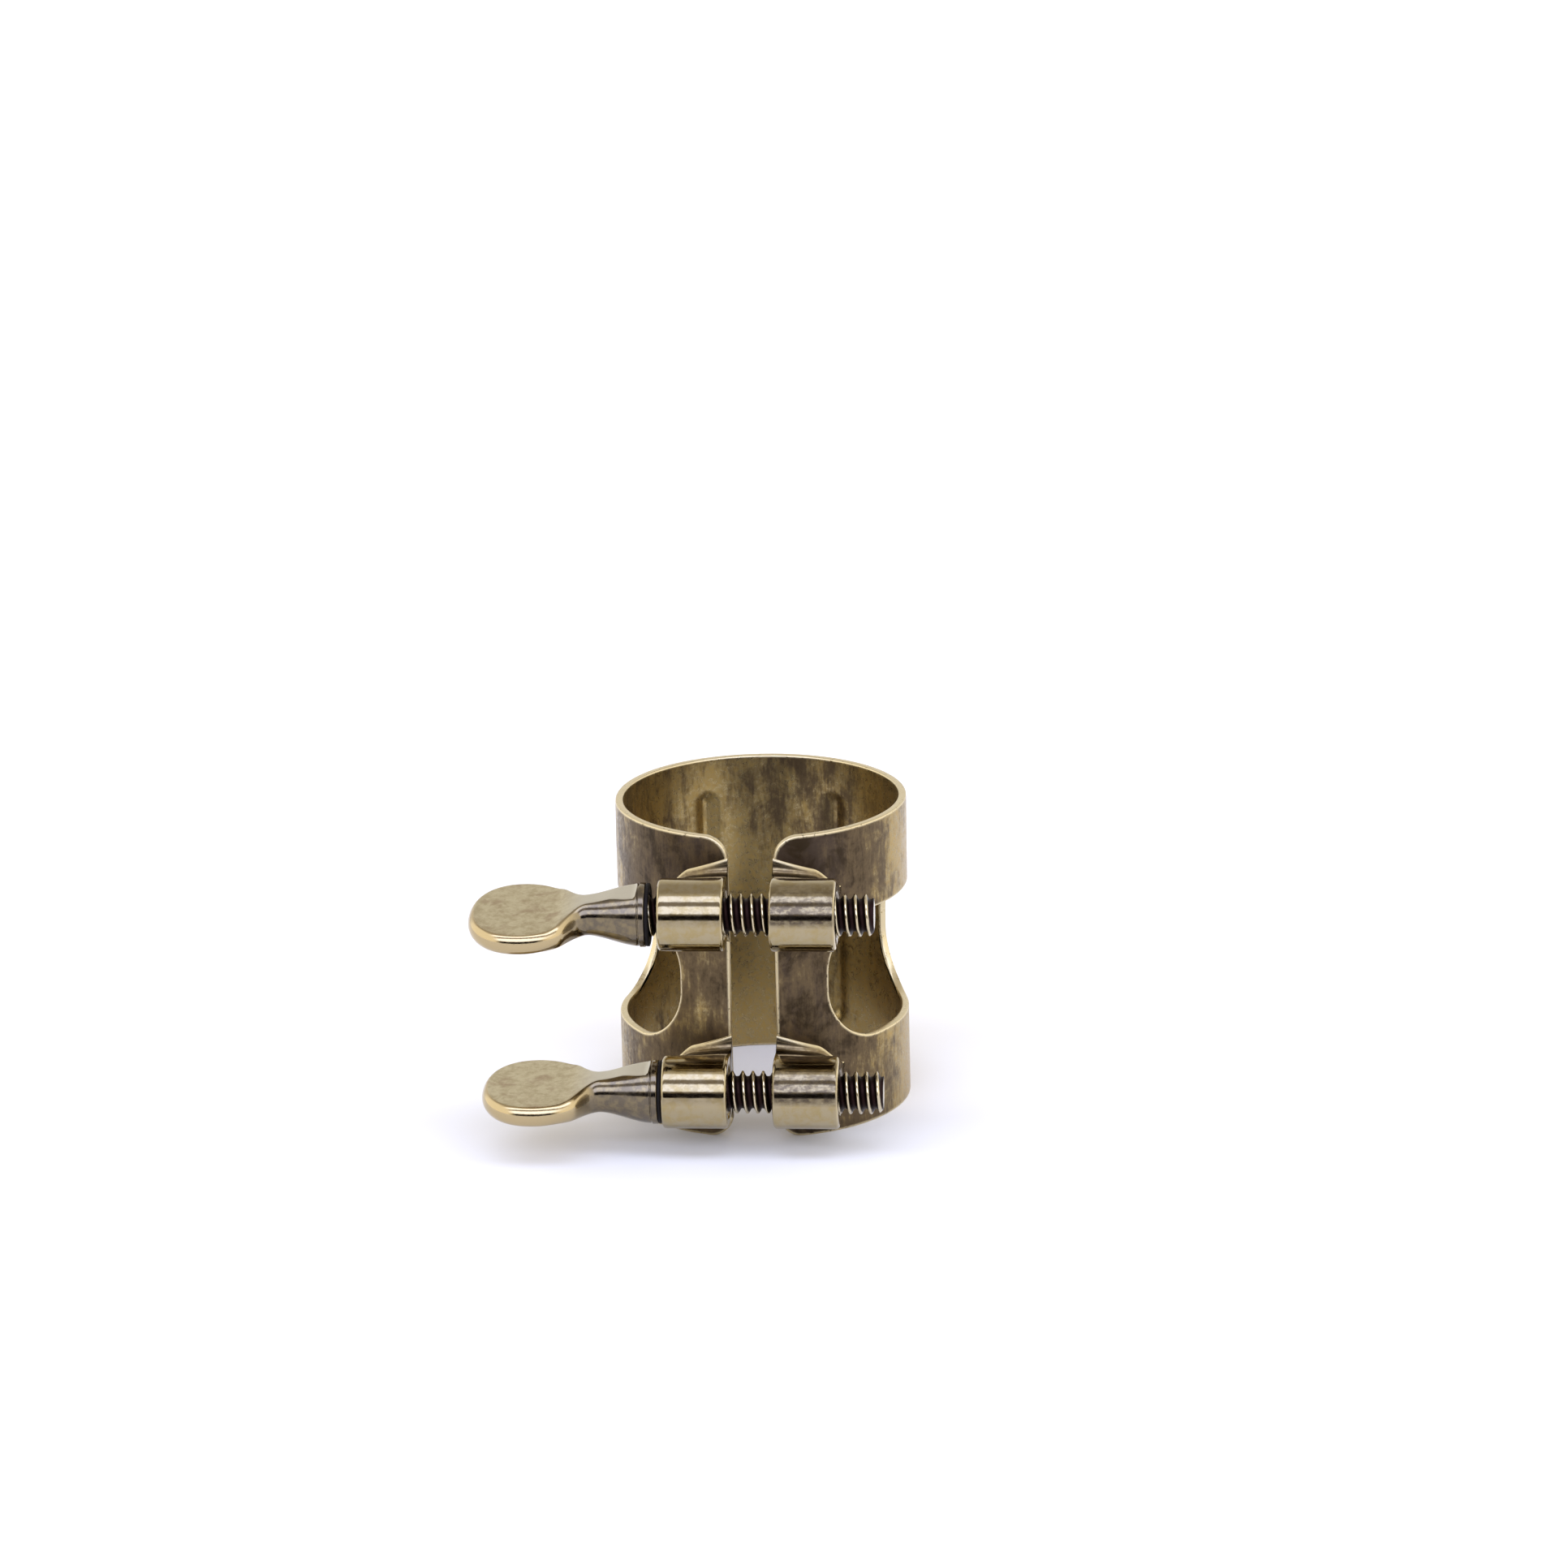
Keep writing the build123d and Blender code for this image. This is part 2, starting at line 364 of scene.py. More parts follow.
def build_post(level, side_name, material):
    """A barrel with a foot that flares into the band, its bore and its softened ends."""
    side = SIDES[side_name]
    node = f"{level}_{side_name}_post"
    bore = LEFT_BORE if side_name == "left" else RIGHT_BORE
    center = Vector((0, AXIS_Y, axis_z(level)))
    edge_steps, body_steps = 5, 20
    rounding = []
    for i in range(edge_steps + 1):
        turn = math.pi / 2 * i / edge_steps
        rounding.append((POST_EDGE * (1 - math.sin(turn)), POST_EDGE * (1 - math.cos(turn))))
    stations = [(depth, inset) for inset, depth in rounding]
    for i in range(1, body_steps):
        stations.append((lerp(POST_EDGE, POST_LENGTH - POST_EDGE, i / body_steps), 0.0))
    stations += [(POST_LENGTH - depth, inset) for inset, depth in reversed(rounding)]
    points, wear, film = [], [], []
    for along, inset in stations:
        section = inset_section(post_section(along), inset)
        for p in section:
            points.append((side * (GAP_HALF + along), center.y + p.x, center.z + p.y))
            # Bright edges: the barrel's rounded ends, and a painted highlight along the lip of the toe.
            from_toe = abs(abs(p.y) - foot_rise(along))
            # Painted highlight: the toe's lip is lightened to edge gold.
            lip = smooth((p.x - wall_distance(along) + 0.5) / 0.3) * smooth((0.12 - from_toe) / 0.1)
            wear.append(max(smooth(inset / (0.5 * POST_EDGE)) * barrel_share(p), lip))
            # Tarnish lies on the upper front of the barrel and deep in the fillets.
            around = math.degrees(math.atan2(p.y, -p.x))
            film.append(smooth((around + 4) / 8) * smooth((100 - around) / 75))
    size = len(section)
    faces = loft_faces(len(stations), size)
    # The bore, with a small countersink at both ends.
    countersink, bore_steps = 0.14, 10
    bore_stations = [(0.0, bore + countersink)]
    for i in range(bore_steps + 1):
        bore_stations.append((lerp(countersink, POST_LENGTH - countersink, i / bore_steps), bore))
    bore_stations.append((POST_LENGTH, bore + countersink))
    base = len(points)
    for along, radius in bore_stations:
        for p in post_section(along):
            angle = math.atan2(p.y, p.x)
            y, z = center.y + radius * math.cos(angle), center.z + radius * math.sin(angle)
            points.append((side * (GAP_HALF + along), y, z))
            wear.append(0.0)
            film.append(1.0)
    faces += loft_faces(len(bore_stations), size, base)
    # The flat ends, between the barrel's edge and the bore's.
    faces += ring_faces(0, base, size)
    faces += ring_faces((len(stations) - 1) * size, base + (len(bore_stations) - 1) * size, size)
    body = "band_and_left_posts" if side_name == "left" else "right_posts"
    name = f"{level}_{side_name}_barrel"
    add_piece(name, points, faces, body, node, material, "post_brass", wear=wear, film=film)


# ---- threaded rods ---------------------------------------------------------------------
# The thread's section over one turn, as (part of the pitch, height from root to crest).
THREAD_SHAPE = (
    (0.0, 1.0), (0.07, 0.97), (0.13, 0.80), (0.21, 0.48), (0.29, 0.2), (0.37, 0.05),
    (0.5, 0.0), (0.63, 0.05), (0.71, 0.2), (0.79, 0.48), (0.87, 0.80), (0.93, 0.97),
)
ROD_CHAMFER = 0.34
ROD_DOME = 0.05
ROD_STEPS = 72
SPARE_TURNS = 2


def thread_fraction(phase):
    """Height of the thread, from 0 at its root to 1 at its crest, at a part of its pitch."""
    phase %= 1.0
    shape = THREAD_SHAPE + ((1.0, 1.0),)
    for (a, fa), (b, fb) in zip(shape, shape[1:]):
        if a <= phase <= b:
            return lerp(fa, fb, (phase - a) / (b - a))
    return 1.0


def build_rod(level, material):
    """A right-handed screw thread about X, with a chamfered and slightly domed tip."""
    node = f"{level}_threaded_rod"
    tip = box_mm(node)[1].x
    head = box_mm(f"{level}_thumb_piece")[1].x - 0.05
    center = Vector((0, AXIS_Y, axis_z(level)))
    turn_count = math.ceil((tip - head) / THREAD_PITCH) + 2 * SPARE_TURNS
    points, wear = [], []
    for i in range(ROD_STEPS):
        part = i / ROD_STEPS
        angle = 2 * math.pi * part
        for turn in range(turn_count):
            for phase, _ in THREAD_SHAPE:
                x = head + THREAD_PITCH * (turn - SPARE_TURNS + phase + part)
                x = min(max(x, head), tip)
                fraction = thread_fraction((x - head) / THREAD_PITCH - part)
                chamfered = THREAD_RADIUS - max(0.0, x - (tip - ROD_CHAMFER))
                radius = min(THREAD_RADIUS - THREAD_DEPTH * (1 - fraction), chamfered)
                points.append((x, center.y + radius * math.cos(angle), center.z + radius * math.sin(angle)))
                wear.append(fraction)
    # Each column of points runs along the rod. The last one meets the first a turn further on.
    samples = len(THREAD_SHAPE)
    column = turn_count * samples
    faces = []
    for i in range(ROD_STEPS):
        shift = 0 if i < ROD_STEPS - 1 else samples
        following = (i + 1) % ROD_STEPS
        for j in range(column - 1 - shift):
            a, b = i * column + j, following * column + j + shift
            faces.append((a, b, b + 1, a + 1))
    # The tip is closed with a shallow dome.
    dome_steps = 4
    rim = [i * column + column - 1 for i in range(ROD_STEPS)]
    before = rim
    for step in range(1, dome_steps):
        shrink = 1 - step / dome_steps
        x = tip + ROD_DOME * (1 - shrink * shrink)
        ring = list(range(len(points), len(points) + ROD_STEPS))
        for _, y, z in [points[i] for i in rim]:
            points.append((x, center.y + (y - center.y) * shrink, center.z + (z - center.z) * shrink))
            wear.append(0.9)
        for j in range(ROD_STEPS):
            k = (j + 1) % ROD_STEPS
            faces.append((before[j], before[k], ring[k], ring[j]))
        before = ring
    middle = len(points)
    points.append((tip + ROD_DOME, center.y, center.z))
    wear.append(0.9)
    faces += [(before[j], before[(j + 1) % ROD_STEPS], middle) for j in range(ROD_STEPS)]
    name = f"{level}_screw_thread"
    add_piece(name, points, faces, f"{level}_screw", node, material, "rod_brass", wear=wear)


# ---- washers ---------------------------------------------------------------------------
def build_washer(level, material):
    """A thin black ring with softened edges, a hair clear of the thumb piece that turns against it."""
    node = f"{level}_washer"
    low, high = box_mm(node)
    low.x += 0.02
    radius, hole, edge = (high.z - low.z) / 2, THREAD_RADIUS + 0.07, 0.05
    corner = 0.3 * edge
    profile = [
        (low.x, hole + edge), (low.x, radius - edge),
        (low.x + corner, radius - corner), (low.x + edge, radius),
        (high.x - edge, radius), (high.x - corner, radius - corner),
        (high.x, radius - edge), (high.x, hole + edge),
        (high.x - edge, hole), (low.x + edge, hole),
    ]
    points, faces = lathe(profile, Vector((0, AXIS_Y, axis_z(level))))
    add_piece(f"{level}_head_washer", points, faces, node, node, material, "washer_black")


# ---- thumb pieces ----------------------------------------------------------------------
RIM_LAND = 0.4
NECK = 4.3
NECK_RADIUS = 1.42
PADDLE_WIDEST = 8.6
PADDLE_TILTS = {"upper": math.radians(8.7), "lower": math.radians(5.3)}
PADDLE_DROPS = {"upper": 0.34, "lower": 0.14}
HALF_THICKNESS = 0.74
RIM_DEPTH = 0.40
SIDE_STEPS = 8
SIDE_CORNER = 0.12
FACE_STEPS = 8


def cone_radius(d, rim_radius):
    """Radius of the cone at a distance from its rim face: land, groove, and a flare down to the neck."""
    if d <= RIM_LAND:
        return rim_radius
    flare = lerp(NECK_RADIUS, rim_radius - 0.06, 1 - smooth((d - RIM_LAND) / (NECK - RIM_LAND)))
    groove = 0.07 * math.exp(-((d - RIM_LAND - 0.06) / 0.06) ** 2)
    return flare - groove


def thumb_outline(length, rim_radius, half_width):
    """Half of the thumb piece's outline in plan: (distance from the rim face, half width) from rim to tip."""
    rounding = ((0.0, 0.09), (0.02, 0.04), (0.06, 0.01), (0.1, 0.0))
    outline = [(d, rim_radius - inset) for d, inset in rounding]
    groove = (0.25, 0.38, RIM_LAND, 0.41, 0.44, 0.47, 0.51, 0.56)
    flare = (0.65, 0.8, 1.0, 1.25, 1.5, 1.8, 2.1, 2.4, 2.7)
    outline += [(d, cone_radius(d, rim_radius)) for d in groove + flare]
    swell_start = NECK - 0.35
    steps = 44
    for i in range(steps):
        d = lerp(2.95, PADDLE_WIDEST, i / steps)
        t = max(0.0, (d - swell_start) / (PADDLE_WIDEST - swell_start))
        swell = (1 - (1 - t) ** 2) * smooth(t / 0.4)
        outline.append((d, lerp(cone_radius(min(d, NECK), rim_radius), half_width, swell)))
    # The tip is a little blunter than an ellipse.
    blunt, steps = 2 / 2.2, 44
    for i in range(steps + 1):
        turn = math.pi / 2 * (1 - i / steps)
        along = math.cos(turn) ** blunt if i else 0.0
        across = math.sin(turn) ** blunt if i < steps else 0.0
        outline.append((PADDLE_WIDEST + (length - PADDLE_WIDEST) * along, half_width * across))
    return outline


def facet_share(d):
    """Height of the flat on top of the cone, as a share of its radius: nearly all of it at the rim."""
    share = lerp(0.86, 0.90, smooth((NECK - d) / 2))
    share = lerp(share, 0.84, smooth((2.6 - d) / 1.4))
    return lerp(share, 0.9995, smooth((0.72 - d) / 0.2))


def side_profile(depth, height):
    """A rounded side from the outline up to the face: (inset, height) pairs with a softened last corner."""
    radius = (height * height + depth * depth) / (2 * depth)
    full = math.atan2(height, radius - depth)
    soft = min(SIDE_CORNER, 0.4 * depth)
    trimmed = full - soft / radius
    profile = []
    for i in range(SIDE_STEPS + 1):
        turn = trimmed * i / SIDE_STEPS
        profile.append((radius * (1 - math.cos(turn)), radius * math.sin(turn)))
    start, peak, end = Vector(profile[-1]), Vector((depth, height)), Vector((depth + soft, height))
    for t in (0.35, 0.7, 1.0):
        p = start * (1 - t) ** 2 + peak * 2 * t * (1 - t) + end * t * t
        profile.append((p.x, p.y))
    return profile


def plan_point(d, w, inward, inset, z, side):
    """A point inset from the outline: (distance from the rim face, sideways, up)."""
    d_in, w_in = d + inward.x * inset, w + inward.y * inset
    return Vector((d_in, side * max(w_in, 0.0), z))


def face_row(edge_point, crown):
    """Points between an edge of a face and its mirror image, very slightly crowned."""
    row = []
    for i in range(1, FACE_STEPS):
        t = i / FACE_STEPS
        lift = math.copysign(crown, edge_point.z) * math.sin(math.pi * t)
        row.append(Vector((edge_point.x, edge_point.y * (1 - 2 * t), edge_point.z + lift)))
    return row


def thumb_ring(d, w, inward, rim_radius):
    """Section of the thumb piece at a point of its outline, and the numbers of the points on its flat top.

    The section goes from the full circle of the cone, flattened on top, to the paddle's rounded rim.
    """
    radius = min(w, cone_radius(min(d, NECK), rim_radius))
    flat_height = facet_share(d) * radius
    flat_depth = radius - math.sqrt(radius * radius - flat_height * flat_height)
    over, under = smooth((d - NECK + 0.3) / 2.6), smooth((d - NECK + 0.2) / 2.9)
    top = side_profile(lerp(flat_depth, RIM_DEPTH, over), lerp(flat_height, HALF_THICKNESS, over))
    bottom = side_profile(lerp(radius, RIM_DEPTH, under), lerp(radius, HALF_THICKNESS, under))
    ring = [plan_point(d, w, inward, inset, z, 1) for inset, z in top]
    ring += face_row(ring[-1], 0.0)
    ring += [plan_point(d, w, inward, inset, z, -1) for inset, z in reversed(top)]
    ring += [plan_point(d, w, inward, inset, -z, -1) for inset, z in bottom[1:]]
    ring += face_row(ring[-1], 0.02 * under)
    ring += [plan_point(d, w, inward, inset, -z, 1) for inset, z in reversed(bottom[1:])]
    return ring, range(len(top) - 2, len(top) + FACE_STEPS + 2)


def build_thumb_piece(level, material):
    """Cone, neck and paddle in one smooth forging, swept along its outline in plan."""
    node = f"{level}_thumb_piece"
    low, high = box_mm(node)
    rim_x, length = high.x, high.x - low.x
    rim_radius = (high.z - low.z) / 2
    half_width = (high.y - low.y) / 2 / math.cos(PADDLE_TILTS[level]) - 0.02
    center = Vector((0, AXIS_Y, axis_z(level)))
    tilt = Matrix.Rotation(-PADDLE_TILTS[level], 3, "X")
    outline = thumb_outline(length, rim_radius, half_width)
    points, wear, film = [], [], []
    for i, (d, w) in enumerate(outline):
        before, after = outline[max(i - 1, 0)], outline[min(i + 1, len(outline) - 1)]
        run = Vector((after[0] - before[0], after[1] - before[1]))
        if i == len(outline) - 1:
            run = Vector((0, -1))
        plan_inward = Vector((run.y, -run.x)).normalized()
        inward = Vector((0, -1)).lerp(plan_inward, smooth((d - NECK) / 2.6)).normalized()
        ring, flat_top = thumb_ring(d, w, inward, rim_radius)
        drop = PADDLE_DROPS[level] * smooth((d - NECK + 0.6) / 2.8)
        for j, p in enumerate(ring):
            q = tilt @ p
            points.append((rim_x - q.x, center.y - q.y, center.z + q.z - drop))
            wear.append(smooth((d - NECK + 0.3) / 2.0))
            # The flat top is marked: on the paddle it takes the satin face colours, on the cone a painted
            # highlight.
            film.append(1.0 if j in flat_top and d > 0.6 else 0.0)
    size = len(ring)
    faces = loft_faces(len(outline), size)
    # The rim's flat face closes on the rod.
    base = len(points)
    for radius, depth in ((THREAD_RADIUS + 0.3, 0.0), (THREAD_RADIUS - 0.3, 0.12)):
        for _, y, z in points[:size]:
            angle = math.atan2(z - center.z, center.y - y)
            y, z = center.y - radius * math.cos(angle), center.z + radius * math.sin(angle)
            points.append((rim_x - depth, y, z))
            wear.append(0.0)
            film.append(0.0)
    faces += ring_faces(0, base, size)
    faces += ring_faces(base, base + size, size)
    faces.append(tuple(base + size + j for j in range(size)))
    name = f"{level}_thumb_wing"
    add_piece(name, points, faces, f"{level}_screw", node, material, "thumb_brass", wear=wear, film=film)


# ---- materials -------------------------------------------------------------------------
class Shader:
    """Short names for the nodes that the metals share. Coordinates are millimetres in the row frame."""

    def __init__(self, name):
        self.material = bpy.data.materials.new(name)
        self.material.use_nodes = True
        self.tree = self.material.node_tree
        self.bsdf = self.tree.nodes["Principled BSDF"]
        coordinates = self.add("ShaderNodeTexCoord").outputs["Object"]
        self.place = self.mapped(coordinates, (1 / MM,) * 3)

    def add(self, kind):
        return self.tree.nodes.new(kind)

    def link(self, source, target):
        self.tree.links.new(source, target)

    def mapped(self, vector, scale, offset=(0, 0, 0)):
        node = self.add("ShaderNodeMapping")
        self.link(vector, node.inputs["Vector"])
        node.inputs["Scale"].default_value = scale
        node.inputs["Location"].default_value = offset
        return node.outputs["Vector"]

    def noise(self, scale, detail=4.0, roughness=0.55, stretch=(1, 1, 1), offset=(0, 0, 0), distortion=0.0):
        node = self.add("ShaderNodeTexNoise")
        self.link(self.mapped(self.place, stretch, offset), node.inputs["Vector"])
        node.inputs["Scale"].default_value = scale
        node.inputs["Detail"].default_value = detail
        node.inputs["Roughness"].default_value = roughness
        node.inputs["Distortion"].default_value = distortion
        return node.outputs["Fac"]

    def math(self, operation, a, b=0.5, clamp=False):
        node = self.add("ShaderNodeMath")
        node.operation = operation
        node.use_clamp = clamp
        for socket, value in zip(node.inputs, (a, b)):
            if isinstance(value, (int, float)):
                socket.default_value = value
            else:
                self.link(value, socket)
        return node.outputs[0]

    def fade(self, value, low, high, to_low=0.0, to_high=1.0):
        """value between low and high, smoothly turned into a number between to_low and to_high."""
        node = self.add("ShaderNodeMapRange")
        node.interpolation_type = "SMOOTHSTEP"
        self.link(value, node.inputs["Value"])
        for name, number in (("From Min", low), ("From Max", high), ("To Min", to_low), ("To Max", to_high)):
            node.inputs[name].default_value = number
        return node.outputs["Result"]

    def mix(self, factor, a, b):
        node = self.add("ShaderNodeMix")
        node.data_type = "RGBA"
        sockets = [s for s in node.inputs if s.enabled]
        for socket, value in zip(sockets, (factor, a, b)):
            if isinstance(value, tuple):
                socket.default_value = (*value, 1.0)
            elif isinstance(value, (int, float)):
                socket.default_value = value
            else:
                self.link(value, socket)
        return [s for s in node.outputs if s.enabled][0]

    def number(self, title):
        """A number stored on the mesh's points."""
        node = self.add("ShaderNodeAttribute")
        node.attribute_name = title
        return node.outputs["Fac"]

    def axis(self, name):
        node = self.add("ShaderNodeSeparateXYZ")
        self.link(self.place, node.inputs[0])
        return node.outputs[name]

    def finish(self, color, roughness, height=None, bump=0.1, distance=0.02, metallic=1.0):
        self.link(color, self.bsdf.inputs["Base Color"])
        self.link(roughness, self.bsdf.inputs["Roughness"])
        self.bsdf.inputs["Metallic"].default_value = metallic
        if height is not None:
            node = self.add("ShaderNodeBump")
            node.inputs["Strength"].default_value = bump
            node.inputs["Distance"].default_value = distance * MM
            self.link(height, node.inputs["Height"])
            self.link(node.outputs["Normal"], self.bsdf.inputs["Normal"])
        return self.material


GOLD = (0.36, 0.28, 0.135)
PALE_GOLD = (0.38, 0.315, 0.195)
YELLOW_GOLD = (0.42, 0.29, 0.10)
EDGE_GOLD = (0.62, 0.52, 0.32)
DULL_BROWN = (0.125, 0.088, 0.048)
UMBER = (0.042, 0.029, 0.017)
PLUM = (0.070, 0.050, 0.036)
DARK_FILM = (0.085, 0.066, 0.048)
GRIME = (0.020, 0.010, 0.009)
CREST_GOLD = (0.58, 0.50, 0.34)
CHAMPAGNE, DEEP_CHAMPAGNE = (0.55, 0.48, 0.31), (0.41, 0.335, 0.195)
RUSTY_BROWN = (0.31, 0.21, 0.12)
# SILVERY is a painted highlight for the cone's flat top; CONE_GREY and CONE_GOLD are painted shade for the
# cone's sides.
SILVERY = (0.56, 0.52, 0.425)
CONE_GREY, CONE_GOLD = (0.145, 0.12, 0.088), (0.22, 0.175, 0.105)
RIM_GOLD = (0.46, 0.36, 0.20)


def band_material():
    """Worn gold sheet with tarnish blotches and streaks, darkest round the gap and on the upper ring, yellow
    gold at the sides.
    """
    s = Shader("tarnished_band_gold")
    streaks = s.noise(1.1, 5, 0.6, (1, 1, 0.22))
    fine_streaks = s.noise(4.0, 5, 0.65, (1, 1, 0.2), (3, 7, 1), 0.3)
    blotches = s.noise(0.42, 5, 0.6, (1, 1, 1), (11, 4, 2), 0.8)
    speckle = s.noise(3.0, 6, 0.72, (1, 1, 1), (5, 1, 9), 0.4)
    # Darkest on the front, less at the sides and on the reed side.
    amount = s.fade(s.axis("Y"), -10.2, -1.0, 0.76, 0.18)
    upper = s.fade(s.axis("Z"), 12.5, 17.0, -0.10, 0.16)
    beside_gap = s.fade(s.axis("X"), -2.0, 2.0, -0.09, 0.08)
    cleaner_above = s.fade(s.axis("Z"), 6.0, 16.0, -0.06, -0.26)
    right_end = s.math("MULTIPLY", s.fade(s.axis("X"), 4.0, 8.5), cleaner_above)
    low = s.fade(s.axis("Z"), 5.0, 9.0, 1.0, 0.0)
    low_left = s.math("MULTIPLY", s.fade(s.axis("X"), -8.5, -4.5, 0.2, 0.0), low)
    for term in (upper, beside_gap, right_end, low_left):
        amount = s.math("ADD", amount, term)
    for source, weight in ((streaks, 0.42), (blotches, 0.45), (fine_streaks, 0.26), (speckle, 0.2)):
        amount = s.math("ADD", amount, s.math("MULTIPLY", s.math("SUBTRACT", source, 0.5), weight * 2))
    clean = s.mix(s.fade(speckle, 0.35, 0.65), GOLD, YELLOW_GOLD)
    color = s.mix(s.fade(amount, 0.12, 0.55), clean, DULL_BROWN)
    dark = s.mix(s.fade(blotches, 0.42, 0.6), PLUM, UMBER)
    color = s.mix(s.fade(amount, 0.5, 0.95), color, dark)
    edge = s.math("MULTIPLY", s.number("wear"), s.fade(speckle, 0.25, 0.5), True)
    color = s.mix(s.fade(edge, 0.15, 0.8), color, EDGE_GOLD)
    rough = s.math("ADD", s.fade(speckle, 0.3, 0.7, 0.24, 0.40), s.fade(amount, 0.2, 0.9, 0.0, 0.10))
    height = s.math("ADD", s.math("MULTIPLY", fine_streaks, 0.5), speckle)
    return s.finish(color, rough, height, 0.2, 0.03)


def post_material(name, tarnish):
    """Polished pale gold, filmed over by some share of tarnish, with painted shade in brown where the foot
    meets the band.
    """
    s = Shader(name)
    mottle = s.noise(1.5, 5, 0.62, (1, 1, 1), (2, 5, 3), 0.3)
    haze = s.noise(4.5, 5, 0.62, (0.45, 1, 1), (8, 1, 6))
    base = s.mix(s.fade(mottle, 0.38, 0.68), PALE_GOLD, GOLD)
    filmed = s.math("MULTIPLY", s.number("film"), s.fade(s.math("ADD", mottle, haze), 0.8, 1.15, 0.55, 1.0))
    color = s.mix(s.math("MULTIPLY", filmed, tarnish), base, DARK_FILM)
    # Painted shade: towards the band, where the foot meets it, the gold is darkened to brown.
    foot = s.fade(s.axis("Y"), AXIS_Y + 0.9, AXIS_Y + 2.5)
    painted_foot_shade = s.math("MULTIPLY", foot, s.fade(haze, 0.3, 0.65, 0.62, 0.95))
    color = s.mix(painted_foot_shade, color, DULL_BROWN)
    # Edge gold on the barrel's rounded ends, and as a painted highlight on the toe's lip.
    color = s.mix(s.math("MULTIPLY", s.number("wear"), 0.8), color, EDGE_GOLD)
    rough = s.math("ADD", s.fade(haze, 0.35, 0.7, 0.05, 0.12), s.math("MULTIPLY", filmed, 0.07 * tarnish))
    rough = s.math("ADD", rough, s.math("MULTIPLY", foot, 0.12))
    return s.finish(color, rough, s.math("ADD", mottle, haze), 0.07, 0.03)


def rod_material():
    """Screw thread: dark grime in its roots, gold crests."""
    s = Shader("threaded_rod_gold")
    grime = s.noise(2.4, 4, 0.6, (1, 1, 1), (4, 4, 1))
    crest = s.math("ADD", s.number("wear"), s.math("MULTIPLY", s.math("SUBTRACT", grime, 0.5), 0.4))
    color = s.mix(s.fade(crest, 0.55, 0.98), GRIME, CREST_GOLD)
    rough = s.fade(crest, 0.5, 0.95, 0.5, 0.16)
    return s.finish(color, rough, grime, 0.1, 0.02)


def thumb_material():
    """Satin champagne on the flat faces with brown blotches; polished round the cone, with a painted
    highlight on the cone's flat top and painted shade greying its sides.
    """
    s = Shader("champagne_thumb_gold")
    blotches = s.noise(0.62, 4, 0.6, (1, 1, 1), (3, 2, 5), 0.5)
    grain = s.noise(6.0, 5, 0.65, (1, 1, 1), (1, 8, 2))
    mottle = s.noise(1.7, 5, 0.65, (1, 1, 1), (9, 2, 4), 0.3)
    paddle, flat = s.number("wear"), s.number("film")
    face = s.mix(s.fade(mottle, 0.35, 0.7), CHAMPAGNE, DEEP_CHAMPAGNE)
    face = s.mix(s.math("MULTIPLY", s.fade(blotches, 0.52, 0.70), 0.6), face, RUSTY_BROWN)
    # Painted highlight: on the cone the flat top is lightened to silvery.
    face = s.mix(paddle, SILVERY, face)
    # Painted shade: the cone's sides are darkened to grey.
    side = s.mix(s.fade(mottle, 0.4, 0.65), CONE_GREY, CONE_GOLD)
    side = s.mix(paddle, side, RIM_GOLD)
    color = s.mix(flat, side, face)
    rough = s.math("ADD", s.fade(grain, 0.3, 0.7, 0.09, 0.17), s.math("MULTIPLY", flat, 0.24))
    return s.finish(color, rough, s.math("ADD", grain, mottle), 0.10, 0.02)


def washer_material():
    """Black fibre with a faint grain."""
    s = Shader("black_washer")
    grain = s.noise(5.0, 3)
    color = s.mix(grain, (0.003, 0.002, 0.002), (0.008, 0.006, 0.006))
    s.bsdf.inputs["Specular IOR Level"].default_value = 0.12
    return s.finish(color, s.fade(grain, 0.3, 0.7, 0.5, 0.7), grain, 0.1, 0.02, 0.0)


# ---- stage -----------------------------------------------------------------------------
def build_floor():
    """A wide pale floor under the band."""
    mesh = bpy.data.meshes.new("floor")
    reach = 3.0
    corners = [(-reach, -reach, 0), (reach, -reach, 0), (reach, reach, 0), (-reach, reach, 0)]
    mesh.from_pydata(corners, [], [(0, 1, 2, 3)])
    floor = bpy.data.objects.new("floor", mesh)
    bpy.context.scene.collection.objects.link(floor)
    material = bpy.data.materials.new("pale_floor")
    material.use_nodes = True
    bsdf = material.node_tree.nodes["Principled BSDF"]
    bsdf.inputs["Base Color"].default_value = (0.88, 0.87, 0.85, 1)
    bsdf.inputs["Roughness"].default_value = 0.9
    mesh.materials.append(material)


